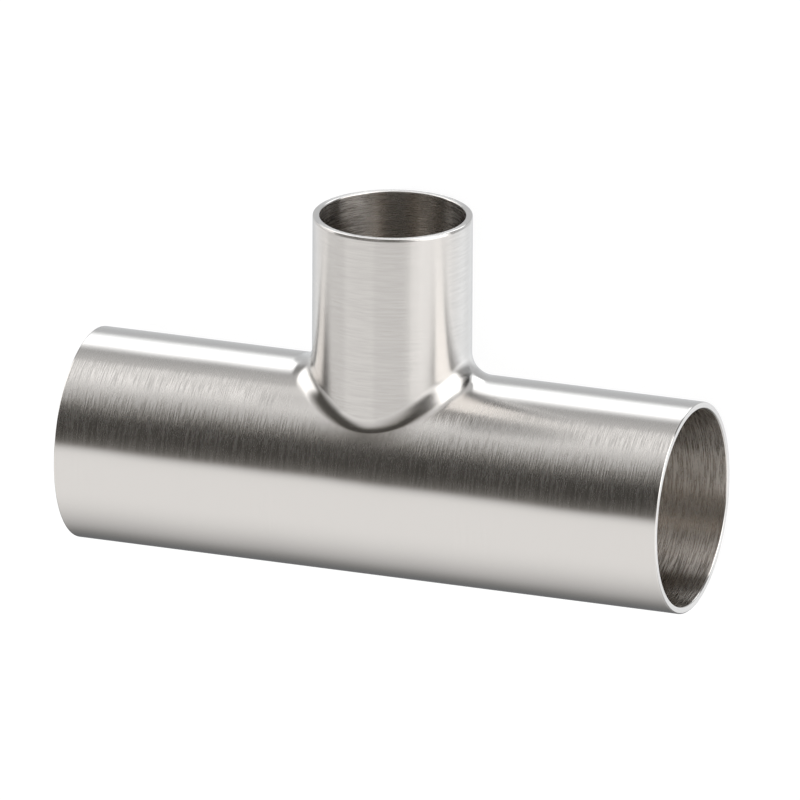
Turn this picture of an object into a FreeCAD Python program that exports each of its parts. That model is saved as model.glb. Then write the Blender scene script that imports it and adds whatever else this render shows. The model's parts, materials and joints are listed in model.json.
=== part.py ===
# Reducing weld tee for sanitary tube: one seamless piece of stainless steel.
#
# The run is a straight tube along X. A smaller branch is drawn out of its side along +Y, and its
# collar blends into the run in one rounded crotch, with the same wall all over. The three ends
# are cut square and deburred for butt welding. The tee lies on its side, so the run and the
# branch are both level and Z is up.
#
# Millimetres. The origin is where the axis of the run crosses the axis of the branch.

import FreeCAD, Part
import os

# Driving dimensions
run_diameter = 50.8  # outside, for 2 in tube
branch_diameter = 38.1  # outside, for 1 1/2 in tube
wall = 1.65  # 0.065 in
run_length = 153.0  # from end face to end face
branch_height = 64.0  # from the axis of the run to the end face of the branch
crotch_radius = 5.7  # outside round where the branch leaves the run
edge_break = 0.3  # chamfer that deburrs the edges of the three ends

# The bores are cut this far past the end faces, so that nothing is left across a mouth.
overrun = wall

CENTRE = FreeCAD.Vector(0, 0, 0)
ALONG_RUN = FreeCAD.Vector(1, 0, 0)
ALONG_BRANCH = FreeCAD.Vector(0, 1, 0)


def crossed_bars(run_radius, half_run, branch_radius, branch_reach, blend_radius):
    """A round bar along the run with a smaller one on its side, blended where they meet."""
    run = Part.makeCylinder(run_radius, 2 * half_run, ALONG_RUN * -half_run, ALONG_RUN)
    branch = Part.makeCylinder(branch_radius, branch_reach, CENTRE, ALONG_BRANCH)
    (crossed,) = run.fuse(branch).removeSplitter().Solids
    return crossed.makeFillet(blend_radius, crotch_edges(crossed))


def crotch_edges(bars):
    """The edges that lie between the round wall of the run and that of the branch."""

    def is_crotch(edge):
        faces = bars.ancestorsOfType(edge, Part.Face)
        directions = [face.Surface.Axis for face in faces if isinstance(face.Surface, Part.Cylinder)]
        return len(directions) == 2 and abs(directions[0].dot(directions[1])) < 0.5

    return [edge for edge in bars.Edges if is_crotch(edge)]


def mouth_edges(tee):
    """The inner and outer circles of the three square-cut ends."""
    end_faces = [face for face in tee.Faces if isinstance(face.Surface, Part.Plane)]
    return [edge for face in end_faces for edge in face.Edges]


def reducing_tee():
    """The tee: its bore has the shape of its outside, one wall further in."""
    outside = crossed_bars(
        run_radius=run_diameter / 2,
        half_run=run_length / 2,
        branch_radius=branch_diameter / 2,
        branch_reach=branch_height,
        blend_radius=crotch_radius,
    )
    bore = crossed_bars(
        run_radius=run_diameter / 2 - wall,
        half_run=run_length / 2 + overrun,
        branch_radius=branch_diameter / 2 - wall,
        branch_reach=branch_height + overrun,
        blend_radius=crotch_radius + wall,
    )
    square_cut = outside.cut(bore)
    (tee,) = square_cut.makeChamfer(edge_break, mouth_edges(square_cut)).Solids
    return tee


def export(node, solid):
    """Writes one solid to parts/NODE.step and prints its size."""
    solid.exportStep(f"parts/{node}.step")
    box = solid.optimalBoundingBox(True, False)
    size = f"{box.XLength:.2f} x {box.YLength:.2f} x {box.ZLength:.2f} mm"
    print(f"{node}: {size}, {solid.Volume:.0f} mm3, valid {solid.isValid()}")


os.makedirs("parts", exist_ok=True)
export("reducing_tee", reducing_tee())
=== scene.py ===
import json
import math

import bmesh
import bpy
from mathutils import Matrix, Vector


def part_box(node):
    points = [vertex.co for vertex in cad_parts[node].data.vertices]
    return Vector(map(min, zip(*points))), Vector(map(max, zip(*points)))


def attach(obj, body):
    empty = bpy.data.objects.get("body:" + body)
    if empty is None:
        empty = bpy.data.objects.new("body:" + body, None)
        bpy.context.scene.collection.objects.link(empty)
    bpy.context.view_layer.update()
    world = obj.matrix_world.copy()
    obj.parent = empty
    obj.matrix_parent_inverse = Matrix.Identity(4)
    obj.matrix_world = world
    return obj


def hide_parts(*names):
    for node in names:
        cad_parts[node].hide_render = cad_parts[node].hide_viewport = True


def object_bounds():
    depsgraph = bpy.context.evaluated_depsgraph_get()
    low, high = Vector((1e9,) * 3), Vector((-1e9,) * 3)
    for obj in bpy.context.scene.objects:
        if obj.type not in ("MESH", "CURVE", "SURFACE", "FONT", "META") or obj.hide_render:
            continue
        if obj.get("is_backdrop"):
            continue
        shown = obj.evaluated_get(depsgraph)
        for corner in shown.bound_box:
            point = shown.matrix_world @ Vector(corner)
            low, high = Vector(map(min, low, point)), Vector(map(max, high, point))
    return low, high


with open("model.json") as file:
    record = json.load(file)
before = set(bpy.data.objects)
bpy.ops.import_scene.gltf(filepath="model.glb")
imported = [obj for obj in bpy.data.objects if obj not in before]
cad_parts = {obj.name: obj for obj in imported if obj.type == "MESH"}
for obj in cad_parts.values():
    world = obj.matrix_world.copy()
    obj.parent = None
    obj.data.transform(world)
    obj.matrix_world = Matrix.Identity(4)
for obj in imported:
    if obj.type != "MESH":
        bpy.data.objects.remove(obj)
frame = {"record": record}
cad_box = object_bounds()

# The tee lies on its side: the run along X, the branch along +Y, and Z up. Everything is in metres.
CENTRE = Vector((0, 0, 0))
ALONG_RUN = Vector((1, 0, 0))
ALONG_BRANCH = Vector((0, 1, 0))
ACROSS_BOTH = Vector((0, 0, 1))
MM = 0.001

# Sizes that the frame gives
LOWEST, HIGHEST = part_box("reducing_tee")
BORES = {mount["name"]: mount["dims"].get("r_mm", 0) * MM for mount in frame["record"]["mounts"]}
HALF_RUN = HIGHEST.x
BRANCH_HEIGHT = HIGHEST.y
RUN_RADIUS = HIGHEST.z
WALL = RUN_RADIUS - BORES["run_bore"]
BRANCH_RADIUS = BORES["branch_bore"] + WALL

# Sizes that it doesn't give
CROTCH_RADIUS = 5.7 * MM  # outside round where the branch leaves the run
EDGE_BREAK = 0.3 * MM  # round that deburrs the edges of the ends
EDGE_GUARD = 0.5 * MM  # the last ring of the skin before an end, which keeps the shading of its edge narrow
RIM_GUARD = 0.12 * MM  # the same on the flat of the end
TOUCHING = 0.001 * MM  # closer than this is the same place

# How fine the skin is, for a quarter of the tee
AROUND_BRANCH = 40
AROUND_UNDERSIDE = 72
BRANCH_RINGS = 14
CROTCH_RINGS = 22
RUN_RINGS = 30
EDGE_SEGMENTS = 3

# The faces' materials, in the order of the tee's slots
BRUSHED, BORE, FACED, EDGE = range(4)


# Skin of the tee

def crotch_point(turn, share):
    """A point of the round between the branch (share 0) and the run (share 1).

    A ball that rolls round the crotch touches the branch at the angle turn, which starts at +X and
    grows towards +Z. The round is the arc of the ball from that point to where it touches the run.
    """
    around = BRANCH_RADIUS + CROTCH_RADIUS
    x, z = around * math.cos(turn), around * math.sin(turn)
    ball = Vector((x, math.sqrt((RUN_RADIUS + CROTCH_RADIUS) ** 2 - z ** 2), z))
    to_branch = -Vector((x, 0, z)).normalized()
    to_run = -Vector((0, ball.y, z)).normalized()
    return ball + to_branch.slerp(to_run, share) * CROTCH_RADIUS


def run_point(x, angle):
    """A point of the run's wall. The angle starts on the side of the branch and grows towards +Z."""
    return Vector((x, RUN_RADIUS * math.cos(angle), RUN_RADIUS * math.sin(angle)))


def run_angle(place):
    """The angle of a place on the run, as run_point takes it."""
    return math.atan2(place.z, place.y)


def extruded(bm, chain):
    """Extrudes a chain of edges in place. Returns the new chain and its vertices."""
    made = bmesh.ops.extrude_edge_only(bm, edges=chain)["geom"]
    verts = [item for item in made if isinstance(item, bmesh.types.BMVert)]
    edges = [item for item in made if isinstance(item, bmesh.types.BMEdge)]
    return [edge for edge in edges if edge.verts[0] in verts and edge.verts[1] in verts], verts


def quarter_branch(bm, turn, on_branch):
    """A quarter of the branch, from its end to the crotch. Returns the chain at its foot."""
    corner = bmesh.ops.create_vert(bm, co=(BRANCH_RADIUS, BRANCH_HEIGHT, 0))["vert"]
    bmesh.ops.spin(
        bm, geom=corner, cent=CENTRE, axis=ALONG_BRANCH, angle=-math.pi / 2, steps=AROUND_BRANCH
    )
    for vert in bm.verts:
        vert[turn] = math.atan2(vert.co.z, vert.co.x)
        vert[on_branch] = 1
    chain, verts = extruded(bm, list(bm.edges))
    bmesh.ops.translate(bm, verts=verts, vec=ALONG_BRANCH * -EDGE_GUARD)
    for step in range(BRANCH_RINGS):
        chain, verts = extruded(bm, chain)
        for vert in verts:
            foot = crotch_point(vert[turn], 0).y
            vert.co.y += (foot - vert.co.y) / (BRANCH_RINGS - step)
    return chain


def quarter_crotch(bm, chain, turn, on_branch):
    """A quarter of the round between the branch and the run. Returns the chain at its foot."""
    for step in range(CROTCH_RINGS):
        share = (step + 1) / CROTCH_RINGS
        chain, verts = extruded(bm, chain)
        for vert in verts:
            vert.co = crotch_point(vert[turn], share)
            vert[on_branch] = 1 - share
    return chain


def quarter_run(bm, chain, turn):
    """A quarter of the run, from the crotch and the middle of the underside to the end."""
    foot = {vert for edge in chain for vert in edge.verts}
    low_side = max(foot, key=lambda vert: vert[turn])
    start = run_angle(low_side.co)
    known = set(bm.verts)
    bmesh.ops.spin(
        bm, geom=[low_side], cent=CENTRE, axis=ALONG_RUN, angle=math.pi - start, steps=AROUND_UNDERSIDE
    )
    underside = [vert for vert in bm.verts if vert not in known]
    chain = chain + [edge for edge in bm.edges if not edge.link_faces and not edge.is_boundary]
    step_at_end = math.pi / (AROUND_BRANCH + AROUND_UNDERSIDE)
    for vert in foot:
        vert[turn] = step_at_end * AROUND_BRANCH * vert[turn] / (math.pi / 2)
    for vert in underside:
        share = (abs(run_angle(vert.co)) - start) / (math.pi - start)
        vert[turn] = step_at_end * (AROUND_BRANCH + AROUND_UNDERSIDE * share)
    for step in range(RUN_RINGS):
        chain, verts = extruded(bm, chain)
        for vert in verts:
            left = RUN_RINGS - step
            x = vert.co.x + (HALF_RUN - EDGE_GUARD - vert.co.x) / left
            angle = abs(run_angle(vert.co))
            vert.co = run_point(x, angle + (vert[turn] - angle) / left)
    chain, verts = extruded(bm, chain)
    bmesh.ops.translate(bm, verts=verts, vec=ALONG_RUN * EDGE_GUARD)


def mirrored_to_whole(bm):
    """Mirrors the quarter across the plane of both axes and then across the middle of the run."""
    for axis in ("Z", "X"):
        everything = bm.verts[:] + bm.edges[:] + bm.faces[:]
        bmesh.ops.mirror(bm, geom=everything, axis=axis, merge_dist=TOUCHING)
    bmesh.ops.remove_doubles(bm, verts=bm.verts, dist=TOUCHING)
    bmesh.ops.recalc_face_normals(bm, faces=bm.faces)
    topmost = max(bm.faces, key=lambda face: face.calc_center_median().z)
    if topmost.normal.z < 0:
        bmesh.ops.reverse_faces(bm, faces=bm.faces)


def thickened(bm):
    """Gives the skin its wall, and rounds the edges of the three ends."""
    outside = set(bm.faces)
    bmesh.ops.solidify(bm, geom=bm.faces[:], thickness=WALL)
    for face in bm.faces:
        if face not in outside:
            face.material_index = FACED if is_rim(face) else BORE
    rims = [face for face in bm.faces if face.material_index == FACED]
    edges = [edge for face in rims for edge in face.edges if not all(map(is_rim, edge.link_faces))]
    rounds = bmesh.ops.bevel(
        bm, geom=edges, offset=EDGE_BREAK, offset_type="OFFSET", segments=EDGE_SEGMENTS, profile=0.5,
        affect="EDGES", clamp_overlap=True, material=-1
    )
    for face in rounds["faces"]:
        face.material_index = EDGE
    rims = [face for face in bm.faces if is_rim(face)]
    bmesh.ops.inset_region(bm, faces=rims, thickness=RIM_GUARD, use_even_offset=True)


def is_rim(face):
    """Whether a face lies in the plane of one of the three ends."""
    on_run = all(abs(vert.co.x) > HALF_RUN - TOUCHING for vert in face.verts)
    on_branch = all(vert.co.y > BRANCH_HEIGHT - TOUCHING for vert in face.verts)
    return on_run or on_branch


def make_tee():
    """The tee as one closed shell. The steels read its attribute on_branch."""
    bm = bmesh.new()
    turn = bm.verts.layers.float.new("turn")
    on_branch = bm.verts.layers.float.new("on_branch")
    chain = quarter_branch(bm, turn, on_branch)
    chain = quarter_crotch(bm, chain, turn, on_branch)
    quarter_run(bm, chain, turn)
    # The turn served only to lay out the rings.
    bm.verts.layers.float.remove(bm.verts.layers.float["turn"])
    mirrored_to_whole(bm)
    thickened(bm)
    for face in bm.faces:
        face.smooth = True
    mesh = bpy.data.meshes.new("brushed_tee")
    bm.to_mesh(mesh)
    bm.free()
    tee = bpy.data.objects.new("brushed_tee", mesh)
    bpy.context.scene.collection.objects.link(tee)
    return tee


# Node helpers

def node(tree, kind, inputs=(), **settings):
    """Adds a shader node with its settings. An input is given as a socket or as a value."""
    made = tree.nodes.new("ShaderNode" + kind)
    for name, value in settings.items():
        setattr(made, name, value)
    for name, value in dict(inputs).items():
        fill(tree, made.inputs[name], value)
    return made


def fill(tree, socket, value):
    """Links a socket to another one, or gives it a value."""
    if isinstance(value, bpy.types.NodeSocket):
        tree.links.new(value, socket)
    else:
        socket.default_value = value


def calc(tree, operation, first, second=0.0, third=0.0):
    return node(tree, "Math", {0: first, 1: second, 2: third}, operation=operation).outputs[0]


def product(tree, *factors):
    """The product of several numbers."""
    result = factors[0]
    for factor in factors[1:]:
        result = calc(tree, "MULTIPLY", result, factor)
    return result


def vector(tree, operation, first, second=(0, 0, 0)):
    return node(tree, "VectorMath", {0: first, 1: second}, operation=operation).outputs[0]


def scaled(tree, direction, factor):
    return node(tree, "VectorMath", {0: direction, "Scale": factor}, operation="SCALE").outputs[0]


def soft_step(tree, value, low, high, from_level=0.0, to_level=1.0):
    """Goes smoothly from one level to the other as value goes from low to high."""
    inputs = {"Value": value, "From Min": low, "From Max": high, "To Min": from_level, "To Max": to_level}
    return node(tree, "MapRange", inputs, interpolation_type="SMOOTHSTEP").outputs["Result"]


def band(tree, value, rise, fall, height=1.0):
    """Rises from 0 to its height over one range of the value, and falls back to 0 over another."""
    rising = soft_step(tree, value, *rise, 0.0, height)
    falling = soft_step(tree, value, *fall, 1.0, 0.0)
    return product(tree, rising, falling)


def mixed(tree, share, first, second, data_type="FLOAT"):
    """Mixes two numbers, vectors or colours. The node has its own sockets for each type."""
    made = node(tree, "Mix", data_type=data_type)
    ending = {"FLOAT": "Float", "VECTOR": "Vector", "RGBA": "Color"}[data_type]
    for name, value in (("Factor_Float", share), ("A_" + ending, first), ("B_" + ending, second)):
        fill(tree, next(item for item in made.inputs if item.identifier == name), value)
    return next(item for item in made.outputs if item.identifier == "Result_" + ending)


def new_material(name):
    """A material with a shader of its own. Returns it with its tree and that shader."""
    material = bpy.data.materials.new(name)
    material.use_nodes = True
    tree = material.node_tree
    tree.nodes.clear()
    shader = node(tree, "BsdfPrincipled")
    node(tree, "OutputMaterial", {"Surface": shader.outputs[0]})
    return material, tree, shader


# Places on the tee

def object_place(tree):
    return node(tree, "TexCoord").outputs["Object"]


def object_xyz(tree):
    """The place along the run, along the branch and across both."""
    return node(tree, "SeparateXYZ", {0: object_place(tree)}).outputs


def share_of_branch(tree):
    """1 on the branch, 0 on the run, and between them across the crotch."""
    return node(tree, "Attribute", attribute_name="on_branch").outputs["Fac"]


def tube_axis(tree):
    """The direction along the tube: of the run, of the branch, or between them in the crotch."""
    return mixed(tree, share_of_branch(tree), tuple(ALONG_RUN), tuple(ALONG_BRANCH), "VECTOR")


def outward_from_axis(tree):
    """The direction away from the axis of the tube, across one of its ends."""
    across = mixed(tree, share_of_branch(tree), (0, 1, 1), (1, 0, 1), "VECTOR")
    return vector(tree, "NORMALIZE", vector(tree, "MULTIPLY", object_place(tree), across))


def in_crotch(tree):
    """1 in the round between the branch and the run, 0 elsewhere, and soft at its edges."""
    share = share_of_branch(tree)
    from_edge = calc(tree, "MINIMUM", share, calc(tree, "SUBTRACT", 1.0, share))
    return soft_step(tree, from_edge, 0.0, 0.12)


def past_crotch(tree):
    """How far out on the run's wall a place is from the foot of the crotch, in metres."""
    stretch = (RUN_RADIUS + CROTCH_RADIUS) / RUN_RADIUS
    stretched = vector(tree, "MULTIPLY", object_place(tree), (1, 0, stretch))
    from_axis = node(tree, "VectorMath", {0: stretched}, operation="LENGTH").outputs["Value"]
    return calc(tree, "SUBTRACT", from_axis, BRANCH_RADIUS + CROTCH_RADIUS)


def on_branch_side(tree):
    """1 on the side of the run that the branch leaves, and 0 on the other side."""
    _, along_branch, _ = object_xyz(tree)
    return soft_step(tree, along_branch, 5 * MM, 9 * MM)


# Marks in the steel

def noise(tree, place, detail, seed):
    """Noise about 0. The finer layers weigh nearly as much as the coarse ones."""
    shifted = vector(tree, "ADD", place, (seed, seed, seed))
    made = node(tree, "TexNoise", {"Vector": shifted, "Scale": 1.0, "Detail": detail, "Roughness": 0.7})
    return calc(tree, "SUBTRACT", made.outputs["Fac"], 0.5)


def streaks(tree, per_metre_along, per_metre_around, seed):
    """Noise drawn out around the tubes, as a brush leaves it: around the run, and around the branch."""
    place = object_place(tree)
    run = vector(tree, "MULTIPLY", place, (per_metre_along, per_metre_around, per_metre_around))
    branch = vector(tree, "MULTIPLY", place, (per_metre_around, per_metre_along, per_metre_around))
    return noise(tree, mixed(tree, share_of_branch(tree), run, branch, "VECTOR"), 3.0, seed)


def brush_depth(tree, from_side, from_ridge, elsewhere, on_branch):
    """How deep the brush bites: fully on the two shoulders of the run, and less elsewhere.

    They lie on the side of the run that the branch leaves: from about from_side past the middle of
    the run's side, to about from_ridge short of the ridge under the branch.
    """
    _, along_branch, across = object_xyz(tree)
    past_side = soft_step(tree, along_branch, from_side - 4 * MM, from_side + 2 * MM)
    off_ridge = soft_step(tree, calc(tree, "ABSOLUTE", across), from_ridge - 1 * MM, from_ridge + 3 * MM)
    on_run = mixed(tree, product(tree, past_side, off_ridge), elsewhere, 1.0)
    return mixed(tree, share_of_branch(tree), on_run, on_branch)


def brushing_left(tree):
    """How much of the brushing the smoothing of the crotch leaves, there and on the run beside it."""
    left_by_smoothing = 0.35
    on_run = soft_step(tree, past_crotch(tree), 0.0, 8 * MM, left_by_smoothing, 1.0)
    on_tubes = mixed(tree, share_of_branch(tree), on_run, 1.0)
    return mixed(tree, in_crotch(tree), on_tubes, left_by_smoothing)


def darker_streak(tree, hair):
    """A streak of darker colour along the shoulder of the run, broken up by the brushing.

    It is short and faint left of the branch, and longer right of it.
    """
    along_run, _, across = object_xyz(tree)
    left = band(tree, along_run, (-34 * MM, -24 * MM), (-16 * MM, -10 * MM), height=0.35)
    right = band(tree, along_run, (19 * MM, 28 * MM), (36 * MM, 64 * MM))
    width = band(tree, calc(tree, "ABSOLUTE", across), (13.6 * MM, 16 * MM), (16.3 * MM, 18.6 * MM))
    on_run = soft_step(tree, share_of_branch(tree), 0.0, 0.1, 1.0, 0.0)
    broken = calc(tree, "MULTIPLY_ADD", hair, 2.5, 1.0)
    return product(tree, calc(tree, "ADD", left, right), width, on_branch_side(tree), on_run, broken)


def eased_foot(tree):
    """Eases the foot of the crotch into the run, at its front and its back.

    The round leans away from the branch's end there, most of all a quarter of the way up it and a
    little to the right of the middle.
    """
    along_run, _, _ = object_xyz(tree)
    from_middle = calc(tree, "ABSOLUTE", calc(tree, "SUBTRACT", along_run, 4.5 * MM))
    front_and_back = soft_step(tree, from_middle, 3 * MM, 13 * MM, 1.0, 0.0)
    up_to_foot = soft_step(tree, past_crotch(tree), -0.5 * MM, 3 * MM, 1.0, 0.0)
    rising = soft_step(tree, share_of_branch(tree), 0.0, 0.25, 0.08, 0.22)
    falling = soft_step(tree, share_of_branch(tree), 0.25, 1.0, 1.0, 0.0)
    amount = product(tree, front_and_back, up_to_foot, on_branch_side(tree), rising, falling)
    return scaled(tree, tuple(-ALONG_BRANCH), amount)


def rolled_rim(tree):
    """Leans the last half millimetre of the branch towards its end, as filing leaves it."""
    _, along_branch, _ = object_xyz(tree)
    start, finish = BRANCH_HEIGHT - 0.95 * MM, BRANCH_HEIGHT - 0.35 * MM
    return scaled(tree, tuple(ALONG_BRANCH), soft_step(tree, along_branch, start, finish, 0.0, 0.5))


def tilt(tree, shader, axis, around, along, leaning=(0, 0, 0)):
    """Tilts the surface around the tube and along it, by patterns in radians, and makes it lean."""
    normal = node(tree, "NewGeometry").outputs["Normal"]
    around_tube = vector(tree, "NORMALIZE", vector(tree, "CROSS_PRODUCT", axis, normal))
    tilted = vector(tree, "ADD", normal, scaled(tree, around_tube, around))
    tilted = vector(tree, "ADD", tilted, scaled(tree, axis, along))
    tilted = vector(tree, "ADD", tilted, leaning)
    tree.links.new(vector(tree, "NORMALIZE", tilted), shader.inputs["Normal"])


# Steel

# It is a little warm, and warmer in the bores.
STEEL = (0.68, 0.655, 0.63)
WARM_BORE_STEEL = (0.69, 0.645, 0.60)

BRUSHED_ROUGHNESS = 0.237
RUBBED_ROUGHNESS = 0.16
BORE_ROUGHNESS = 0.26
FACED_ROUGHNESS = 0.2
EDGE_ROUGHNESS = 0.1


def tone(colour, brightness):
    return tuple(part * brightness for part in colour) + (1,)


def shaded(tree, pattern, depth, brightness=1.0, steel=STEEL):
    """Steel that a pattern about 0 makes lighter and darker, by twice the depth for each 1 of it."""
    share = calc(tree, "ADD", pattern, 0.5)
    return mixed(tree, share, tone(steel, brightness - depth), tone(steel, brightness + depth), "RGBA")


def grind(tree, shader, spread_along, roughness, colour):
    """Bare metal with fine parallel marks, which spread its gloss across them."""
    tree.links.new(spread_along, shader.inputs["Tangent"])
    tree.links.new(roughness, shader.inputs["Roughness"])
    tree.links.new(colour, shader.inputs["Base Color"])
    shader.inputs["Metallic"].default_value = 1
    shader.inputs["Anisotropic"].default_value = 1


def brushed_steel():
    """The outside: brushed around each tube, and rubbed smooth in the crotch.

    Hair is the brushing itself. Marks are what it does to the gloss and the tone, and bite is how
    it turns the surface around the tube, which frays the edges of the bands mirrored in it.
    """
    material, tree, shader = new_material("brushed_steel")
    deepest = 0.18
    hair = streaks(tree, per_metre_along=3000, per_metre_around=140, seed=3)
    hair = soft_step(tree, hair, -deepest, deepest, -deepest, deepest)
    marks_depth = brush_depth(tree, from_side=8 * MM, from_ridge=9 * MM, elsewhere=0.12, on_branch=0.16)
    bite_depth = brush_depth(tree, from_side=12 * MM, from_ridge=13 * MM, elsewhere=0.0, on_branch=0.01)
    left = brushing_left(tree)
    marks = product(tree, hair, marks_depth, left)
    bite = product(tree, hair, bite_depth, left)

    base = mixed(tree, in_crotch(tree), BRUSHED_ROUGHNESS, RUBBED_ROUGHNESS)
    roughness = calc(tree, "MULTIPLY_ADD", marks, 0.52, base)

    waves = noise(tree, scaled(tree, object_place(tree), 35), 1.0, seed=17)
    around = calc(tree, "MULTIPLY_ADD", waves, 0.04, product(tree, bite, 0.48))
    along = product(tree, marks, 0.06)
    leaning = vector(tree, "ADD", eased_foot(tree), rolled_rim(tree))
    tilt(tree, shader, tube_axis(tree), around, along, leaning)

    # On the branch the tone goes against the gloss, so that the hairs show in front and not beside it.
    tint = product(tree, marks, mixed(tree, share_of_branch(tree), 1.0, -1.2))
    colour = mixed(tree, darker_streak(tree, hair), shaded(tree, tint, 0.25), tone(STEEL, 0.62), "RGBA")
    grind(tree, shader, tube_axis(tree), roughness, colour)
    return material


def bore_steel():
    """The inside: duller and warmer, with coarser streaks, and painted shade that darkens it, most in the
    branch.
    """
    material, tree, shader = new_material("bore_steel")
    hair = streaks(tree, per_metre_along=4200, per_metre_around=180, seed=29)
    bite = mixed(tree, share_of_branch(tree), 0.55, 0.35)
    roughness = calc(tree, "MULTIPLY_ADD", hair, bite, BORE_ROUGHNESS)
    tilt(tree, shader, tube_axis(tree), product(tree, hair, 0.03), product(tree, hair, 0.15))
    # Painted shade: the bores' colour is a little darker in the run and darker still in the branch.
    in_run = shaded(tree, hair, 0.08, 0.95, WARM_BORE_STEEL)
    in_branch = shaded(tree, hair, 0.08, 0.80, WARM_BORE_STEEL)
    colour = mixed(tree, share_of_branch(tree), in_run, in_branch, "RGBA")
    grind(tree, shader, tube_axis(tree), roughness, colour)
    return material


def faced_steel():
    """The square-cut ends, with the round marks of facing."""
    material, tree, shader = new_material("faced_steel")
    grain = noise(tree, scaled(tree, object_place(tree), 900), 2.0, seed=41)
    roughness = calc(tree, "MULTIPLY_ADD", grain, 0.1, FACED_ROUGHNESS)
    grind(tree, shader, outward_from_axis(tree), roughness, shaded(tree, grain, 0.04, 1.06))
    return material


def edge_steel():
    """The rounds that deburr the ends: filed and polished."""
    material, tree, shader = new_material("edge_steel")
    grain = noise(tree, scaled(tree, object_place(tree), 1500), 2.0, seed=53)
    roughness = calc(tree, "MULTIPLY_ADD", grain, 0.05, EDGE_ROUGHNESS)
    grind(tree, shader, outward_from_axis(tree), roughness, shaded(tree, grain, 0.03, 1.05))
    return material


# Studio

# The tee is lit as it would stand, with the branch up. In that stance, elevation is towards the
# branch, and azimuth turns about it, from the camera's side (0) towards +X (90).
STANDING_TO_LYING = Matrix.Rotation(-math.pi / 2, 4, ALONG_RUN)

# What stands above the level of the tee. Each panel covers the ones before it.
ROOM_PANELS = (
    # The dark of the room on the camera's side, higher on the right, and a paler patch low in it
    dict(brightness=0.075, sides=(-105, 50), heights=(0, 47), soft_sides=(12, 4), soft_heights=(4, 14)),
    dict(brightness=0.075, sides=(0, 60), heights=(0, 60), soft_sides=(8, 4), soft_heights=(4, 8)),
    dict(brightness=0.35, sides=(-8, 26), heights=(-5, 13), soft_sides=(8, 8), soft_heights=(4, 8)),
    # The left lamp, and the gap behind it
    dict(brightness=0.3, sides=(-137, -118), heights=(15, 45)),
    dict(brightness=1.9, sides=(-115, -74), heights=(13, 60), soft_sides=(4, 5)),
    # The right lamp, which leans
    dict(brightness=2.3, sides=(74, 172), heights=(3, 75), soft_sides=(2.5, 5), lean=0.645),
    # The wall at the back, and the gaps between it and the right lamp
    dict(brightness=0.65, sides=(152, 235), heights=(-5, 27)),
    dict(brightness=0.40, sides=(111, 154), heights=(2, 30), soft_sides=(6, 4)),
    dict(brightness=0.05, sides=(115, 147), heights=(26, 66), soft_sides=(4, 4)),
    # The lamp at the back: a dim edge above it, its two parts, and a dim foot
    dict(brightness=0.34, sides=(155, 235), heights=(45, 55), soft_heights=(2, 3)),
    dict(brightness=2.1, sides=(174, 203), heights=(40, 55), soft_heights=(2, 2)),
    dict(brightness=2.1, sides=(154, 222), heights=(28, 51), soft_sides=(3, 5), soft_heights=(2, 2)),
    dict(brightness=0.6, sides=(150, 186), heights=(15, 30), soft_heights=(4, 2)),
)

# What lies below that level: a pale table, a little uneven. All but the corner have these heights.
TABLE_HEIGHTS = (-60, 10)
TABLE_PANELS = (
    dict(brightness=0.97, sides=(-6, 42), soft_sides=(2, 8)),
    dict(brightness=1.14, sides=(55, 108), soft_sides=(4, 5)),
    dict(brightness=1.25, sides=(48, 67), soft_sides=(4, 4)),
    dict(brightness=1.36, sides=(108, 150), soft_sides=(5, 12)),
    dict(brightness=0.78, sides=(182, 232), soft_sides=(14, 12)),
)
TABLE_CORNER = dict(brightness=0.55, sides=(-84, -50), heights=(-12, 10), soft_heights=(6, 4))

# Tints of the light
WARM = (1.0, 0.95, 0.87, 1)
COOL = (0.97, 1.0, 1.03, 1)
WHITE = (1, 1, 1, 1)


def between(tree, value, low, high, soft_low, soft_high):
    """1 between two angles and 0 outside them, with soft ends."""
    return band(tree, value, (low - soft_low, low + soft_low), (high - soft_high, high + soft_high))


def panel(tree, facing, level, brightness, sides, heights, soft_sides=(5, 5), soft_heights=(4, 4), lean=0):
    """Lays a soft-edged panel over the studio: a lamp, a wall, or a dark gap.

    Its sides and heights are ranges of azimuth and elevation in degrees. Facing holds both angles.
    It leans by so many degrees of azimuth for each degree of elevation.
    """
    azimuth, elevation = facing
    if lean:
        azimuth = calc(tree, "MULTIPLY_ADD", elevation, lean, azimuth)
    middle = sum(sides) / 2
    turned = calc(tree, "WRAP", calc(tree, "SUBTRACT", azimuth, middle), 180.0, -180.0)
    across = between(tree, turned, sides[0] - middle, sides[1] - middle, *soft_sides)
    upright = between(tree, elevation, *heights, *soft_heights)
    return mixed(tree, product(tree, across, upright), level, brightness)


def light_of_room(tree, facing):
    """The walls, with the panels that stand before them."""
    _, elevation = facing
    level = soft_step(tree, elevation, 45, 70, 0.66, 0.71)
    for sizes in ROOM_PANELS:
        level = panel(tree, facing, level, **sizes)
    return level


def light_of_table(tree, facing, backwards):
    """The table, which falls off towards the back where it is seen steeply."""
    _, elevation = facing
    level = soft_step(tree, elevation, -66, -46, 1.0, 1.06)
    for sizes in TABLE_PANELS:
        level = panel(tree, facing, level, heights=TABLE_HEIGHTS, **sizes)
    falling_off = soft_step(tree, backwards, -0.5, 0.85, 1.0, 0.2)
    far_out = soft_step(tree, elevation, -32, -22)
    level = product(tree, level, mixed(tree, far_out, falling_off, 1.0))
    return panel(tree, facing, level, **TABLE_CORNER)


def light_tint(tree, level, backwards):
    """Warm in the dark of the room, neutral in front, and a little cool behind."""
    front = mixed(tree, soft_step(tree, level, 0.1, 0.6), WARM, WHITE, "RGBA")
    return mixed(tree, soft_step(tree, backwards, 0.1, 0.8), front, COOL, "RGBA")


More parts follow.
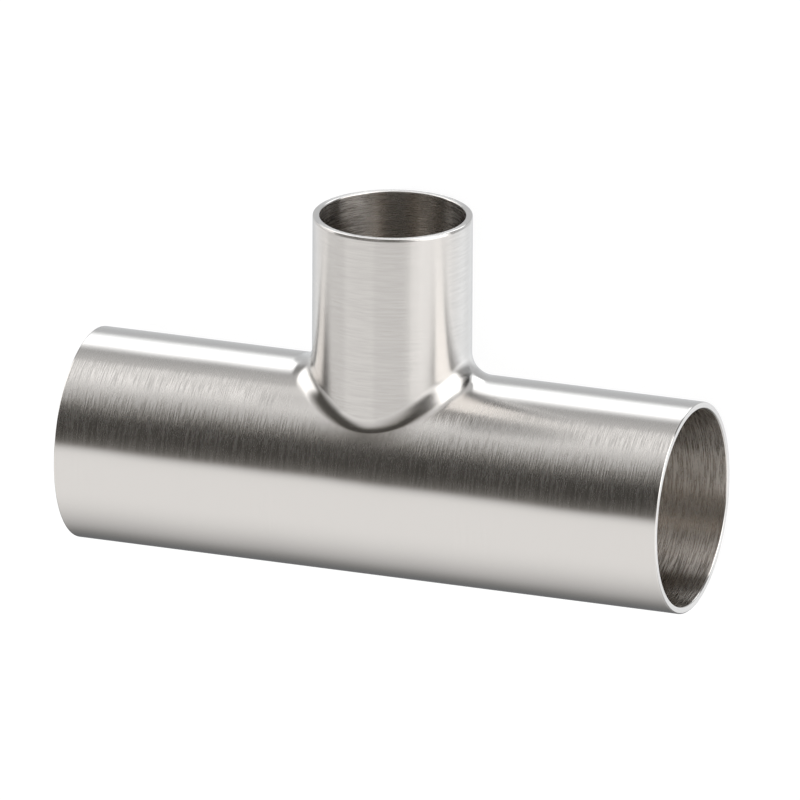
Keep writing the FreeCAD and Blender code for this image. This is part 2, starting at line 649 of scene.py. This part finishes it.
def light_studio():
    """What the steel mirrors. The camera itself sees a plain pale background."""
    world = bpy.data.worlds.new("studio")
    bpy.context.scene.world = world
    world.use_nodes = True
    world.cycles_visibility.diffuse = False
    tree = world.node_tree
    tree.nodes.clear()
    direction = node(tree, "TexCoord").outputs["Generated"]
    parts = node(tree, "SeparateXYZ", {0: direction}).outputs
    azimuth = calc(tree, "DEGREES", calc(tree, "ARCTAN2", parts["X"], parts["Z"]))
    elevation = calc(tree, "DEGREES", calc(tree, "ARCSINE", parts["Y"]))
    backwards = product(tree, parts["Z"], -1.0)
    facing = (azimuth, elevation)

    room = light_of_room(tree, facing)
    table = light_of_table(tree, facing, backwards)
    level = mixed(tree, soft_step(tree, elevation, -9, 6, 1.0, 0.0), room, table)

    mirrored = node(tree, "Background", {"Color": light_tint(tree, level, backwards), "Strength": level})
    plain = node(tree, "Background", {"Color": WHITE, "Strength": 1.05})
    seen = node(tree, "LightPath").outputs["Is Camera Ray"]
    both = node(tree, "MixShader", {0: seen, 1: mirrored.outputs[0], 2: plain.outputs[0]})
    node(tree, "OutputWorld", {"Surface": both.outputs[0]})


def light_table():
    """A floor that glows by itself, and takes only a faint shadow."""
    material = bpy.data.materials.new("light_table")
    material.use_nodes = True
    tree = material.node_tree
    tree.nodes.clear()
    glow = node(tree, "Emission", {"Color": WHITE, "Strength": 0.93})
    matt = node(tree, "BsdfDiffuse", {"Color": (0.14, 0.14, 0.14, 1)})
    both = node(tree, "AddShader", {0: glow.outputs[0], 1: matt.outputs[0]})
    node(tree, "OutputMaterial", {"Surface": both.outputs[0]})
    return material


def lay_floor():
    """The pale floor under the tee, 12 m square. The steel doesn't mirror it."""
    bm = bmesh.new()
    bmesh.ops.create_grid(bm, x_segments=1, y_segments=1, size=6)
    bmesh.ops.translate(bm, verts=bm.verts, vec=ACROSS_BOTH * LOWEST.z)
    mesh = bpy.data.meshes.new("floor")
    bm.to_mesh(mesh)
    bm.free()
    mesh.materials.append(light_table())
    floor = bpy.data.objects.new("floor", mesh)
    bpy.context.scene.collection.objects.link(floor)
    floor.visible_glossy = False
    floor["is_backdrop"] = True


def hang_overhead_light():
    """A broad soft light from above, for the floor and its shadows."""
    light = bpy.data.lights.new("overhead", "SUN")
    light.energy = 3.0
    light.angle = math.radians(75)
    lamp = bpy.data.objects.new("overhead", light)
    lamp.visible_glossy = False
    bpy.context.scene.collection.objects.link(lamp)


# Camera, for the standing tee
CAMERA_AZIMUTH = math.radians(20.85)
CAMERA_ELEVATION = math.radians(18.71)
CAMERA_ROLL = math.radians(0.28)
CAMERA_DISTANCE = 8.0
PICTURE_WIDTH = 190.42 * MM  # at the tee
AIM_RIGHT, AIM_UP = 2.03 * MM, 16.54 * MM  # from the tee's origin to the middle of the picture


def place_camera():
    """A very long lens from far away, because the photograph has practically no perspective."""
    data = bpy.data.cameras.new("camera")
    data.lens = data.sensor_width * CAMERA_DISTANCE / PICTURE_WIDTH
    data.clip_end = 100
    camera = bpy.data.objects.new("camera", data)
    bpy.context.scene.collection.objects.link(camera)
    bpy.context.scene.camera = camera
    turned = Matrix.Rotation(CAMERA_AZIMUTH, 4, "Z")
    tipped = Matrix.Rotation(math.pi / 2 - CAMERA_ELEVATION, 4, "X")
    rolled = Matrix.Rotation(CAMERA_ROLL, 4, "Z")
    stand_off = Matrix.Translation((AIM_RIGHT, AIM_UP, CAMERA_DISTANCE))
    camera.matrix_world = STANDING_TO_LYING @ turned @ tipped @ rolled @ stand_off


tee = make_tee()
for material in (brushed_steel(), bore_steel(), faced_steel(), edge_steel()):
    tee.data.materials.append(material)
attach(tee, "root")
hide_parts("reducing_tee")

light_studio()
lay_floor()
hang_overhead_light()
place_camera()
bpy.context.scene.view_settings.view_transform = "Standard"

boxes = {"cad": cad_box, "visual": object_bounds()}
{name: [list(corner) for corner in box] for name, box in boxes.items()}
